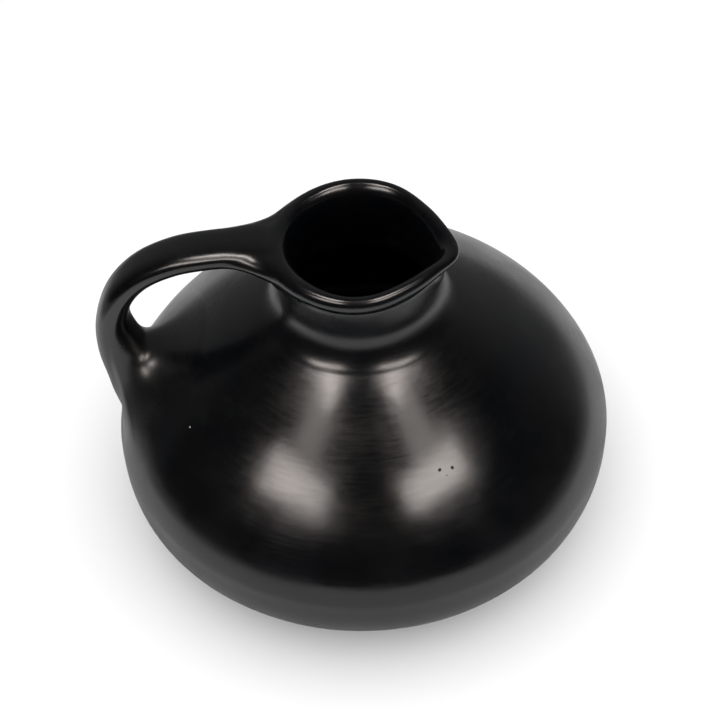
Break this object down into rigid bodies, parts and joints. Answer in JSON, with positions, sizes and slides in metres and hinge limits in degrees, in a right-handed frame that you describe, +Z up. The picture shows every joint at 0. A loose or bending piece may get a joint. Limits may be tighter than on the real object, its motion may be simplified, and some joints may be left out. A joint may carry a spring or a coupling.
{
  "type": "jug",
  "caption": "Squat burnished black clay jug with a short neck, a rolled lip pulled into a spout, and a strap handle from lip to shoulder.",
  "frame": {"origin": "centre of the foot's flat underside, on the jug's axis", "axes": "+Z up along the jug's axis, +X towards the spout, so the handle is on the -X side"},
  "size_m": [0.1741, 0.17, 0.1193],
  "materials": {
    "black_clay": "burnished satin, reduction-fired black",
    "rubbed_clay": "the same clay, unburnished and rubbed matt by the table"
  },
  "bodies": {
    "root": {"foot_disc": "rubbed_clay", "lower_wall_coil": "black_clay", "belly_coil": "black_clay", "lower_shoulder_coil": "black_clay", "upper_shoulder_coil": "black_clay", "neck_collar": "black_clay", "lip_coil": "black_clay", "handle_strap": "black_clay", "handle_top_pad": "black_clay", "handle_root_pad": "black_clay"}
  },
  "joints": []
}
